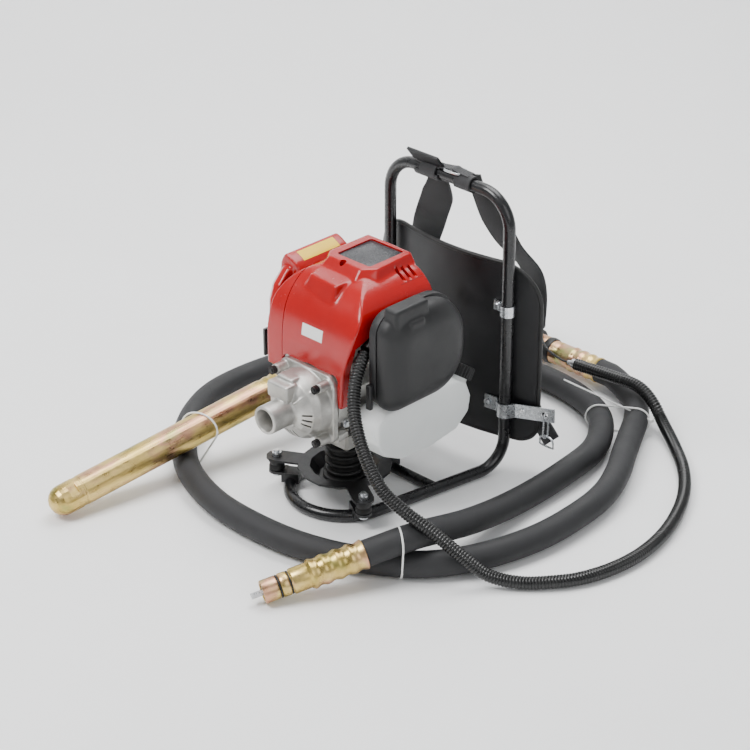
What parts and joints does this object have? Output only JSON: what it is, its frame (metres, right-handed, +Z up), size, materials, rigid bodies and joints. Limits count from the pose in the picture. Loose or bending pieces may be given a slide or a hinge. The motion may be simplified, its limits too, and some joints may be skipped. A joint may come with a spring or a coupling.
{
  "type": "backpack concrete vibrator",
  "caption": "Petrol concrete vibrator on a tubular backpack frame, with a coiled flexible shaft, drive coupling, poker head and hand throttle.",
  "frame": {"origin": "on the floor, under the middle of the machine's box, measured without the flexible shaft, the poker, the throttle handle and the throttle conduit", "axes": "+Z up, +Y towards the wearer's back board, -Y the way the engine's output boss points, +X towards the air cleaner"},
  "size_m": [0.711, 0.8008, 0.4199],
  "materials": {
    "black_tube": "gloss black enamel on bent steel tube",
    "black_plate": "satin black enamel on pressed steel",
    "black_plastic": "fine moulded grain",
    "red_plastic": "glossy moulded cover",
    "white_plastic": "milky blow-moulded tank",
    "bulb_plastic": "clear soft bulb",
    "pulley_plastic": "plain moulded",
    "foam": "open-cell foam",
    "webbing": "woven webbing",
    "rubber": "satin moulded rubber",
    "zinc_gold": "yellow passivated zinc on steel",
    "zinc_silver": "bright zinc on steel",
    "steel": "machined steel",
    "cast_aluminium": "die cast, blasted",
    "friction_lining": "sintered shoe",
    "switch_red": "moulded"
  },
  "bodies": {
    "machine": {"frame_tube": "black_tube", "back_pad": "black_plastic", "upper_clip_left": "zinc_silver", "upper_clip_right": "zinc_silver", "strap_bracket_left": "zinc_silver", "strap_bracket_right": "zinc_silver", "shoulder_strap_left": "webbing", "shoulder_strap_right": "webbing", "carry_tab": "webbing", "engine_plate": "black_plate", "tube_saddle_1": "black_plate", "tube_saddle_2": "black_plate", "tube_saddle_3": "black_plate", "mount_bolt_1": "zinc_silver", "mount_bolt_2": "zinc_silver", "mount_bolt_3": "zinc_silver", "damper": "rubber", "crankcase": "cast_aluminium", "clutch_housing": "cast_aluminium", "housing_bolt_1": "steel", "housing_bolt_2": "steel", "housing_bolt_3": "steel", "housing_bolt_4": "steel", "drum_bearing": "steel", "cylinder": "cast_aluminium", "muffler": "steel", "top_cover": "red_plastic", "side_cover": "red_plastic", "muffler_guard": "black_plate", "recoil_housing": "black_plastic", "carburettor": "cast_aluminium", "air_box": "black_plastic", "air_filter": "foam", "cable_elbow": "black_plastic", "fuel_tank": "white_plastic", "drive_coupling": "zinc_gold", "main_hose": "rubber", "union_tube": "zinc_gold", "tail_hose": "rubber", "poker_tip": "zinc_gold", "poker_tube": "zinc_gold", "throttle_handle": "black_plastic", "throttle_conduit": "black_plastic"},
    "crank": {"crankshaft": "steel", "flywheel": "cast_aluminium", "clutch_shoes": "friction_lining"},
    "drum": {"clutch_drum": "steel"},
    "piston_body": {"piston": "cast_aluminium"},
    "pulley": {"recoil_pulley": "pulley_plastic"},
    "grip": {"starter_grip": "black_plastic"},
    "primer": {"primer_bulb": "bulb_plastic"},
    "lever": {"throttle_lever": "steel"},
    "air_cover": {"air_cleaner_cover": "black_plastic"},
    "choke": {"choke_lever": "black_plastic"},
    "tank_cap": {"fuel_cap": "black_plastic"},
    "filler_cap": {"oil_cap": "black_plastic"},
    "core": {"drive_core": "steel"},
    "rotor": {"eccentric_rotor": "steel"},
    "trigger": {"throttle_trigger": "black_plastic"},
    "switch": {"stop_switch": "switch_red"}
  },
  "joints": [
    {"name": "crank_spin", "type": "hinge", "parent": "machine", "child": "crank", "pos_m": [0, -0.058, 0.162], "axis": [0, 1, 0], "continuous": true},
    {"name": "drum_spin", "type": "hinge", "parent": "machine", "child": "drum", "pos_m": [0, -0.058, 0.162], "axis": [0, 1, 0], "continuous": true},
    {"name": "piston_slide", "type": "slide", "parent": "machine", "child": "piston_body", "axis": [0, 0, 1], "range_m": [-0.015, 0.015]},
    {"name": "starter_pull", "type": "slide", "parent": "machine", "child": "grip", "axis": [-1, 0, 0], "range_m": [0, 0.6]},
    {"name": "pulley_spin", "type": "hinge", "parent": "machine", "child": "pulley", "pos_m": [0, -0.058, 0.162], "axis": [0, -1, 0], "range_deg": [0, 830]},
    {"name": "primer_push", "type": "slide", "parent": "machine", "child": "primer", "axis": [0, 1, 0], "range_m": [0, 0.004], "stiffness_N_per_m": 400},
    {"name": "throttle_lever_turn", "type": "hinge", "parent": "machine", "child": "lever", "pos_m": [0.056, -0.046, 0.2638], "axis": [0, 0, -1], "range_deg": [0, 50]},
    {"name": "air_cover_swing", "type": "hinge", "parent": "machine", "child": "air_cover", "pos_m": [0.1005, -0.032, 0.1725], "axis": [0, 1, 0], "range_deg": [0, 75]},
    {"name": "choke_swing", "type": "hinge", "parent": "machine", "child": "choke", "pos_m": [0.093, -0.1066, 0.205], "axis": [0, -1, 0], "range_deg": [0, 60]},
    {"name": "fuel_cap_turn", "type": "hinge", "parent": "machine", "child": "tank_cap", "pos_m": [0.08, 0.058, 0.138], "axis": [0, 0.5739, 0.8189], "range_deg": [0, 360]},
    {"name": "oil_cap_turn", "type": "hinge", "parent": "machine", "child": "filler_cap", "pos_m": [-0.05, -0.053, 0.15], "axis": [-1, 0, 0], "range_deg": [0, 360]},
    {"name": "core_spin", "type": "hinge", "parent": "machine", "child": "core", "pos_m": [0.116, -0.316, 0.0157], "axis": [0.4454, 0.8685, 0.2175], "continuous": true},
    {"name": "rotor_spin", "type": "hinge", "parent": "machine", "child": "rotor", "pos_m": [-0.219, -0.372, 0.0207], "axis": [0.1648, 0.97, 0.1788], "continuous": true},
    {"name": "throttle_trigger_pull", "type": "hinge", "parent": "machine", "child": "trigger", "pos_m": [-0.086, 0.405, 0.0735], "axis": [0, -1, 0], "range_deg": [0, 13], "stiffness_Nm_per_rad": 0.06, "springref_deg": -6.88},
    {"name": "stop_switch_slide", "type": "slide", "parent": "machine", "child": "switch", "axis": [1, 0, 0], "range_m": [0, 0.004]}
  ],
  "couplings": [
    {"joint": "pulley_spin", "follows": "starter_pull", "rad_per_m": 24},
    {"joint": "core_spin", "follows": "rotor_spin", "ratio": 1},
    {"joint": "throttle_lever_turn", "follows": "throttle_trigger_pull", "ratio": 3.8}
  ]
}
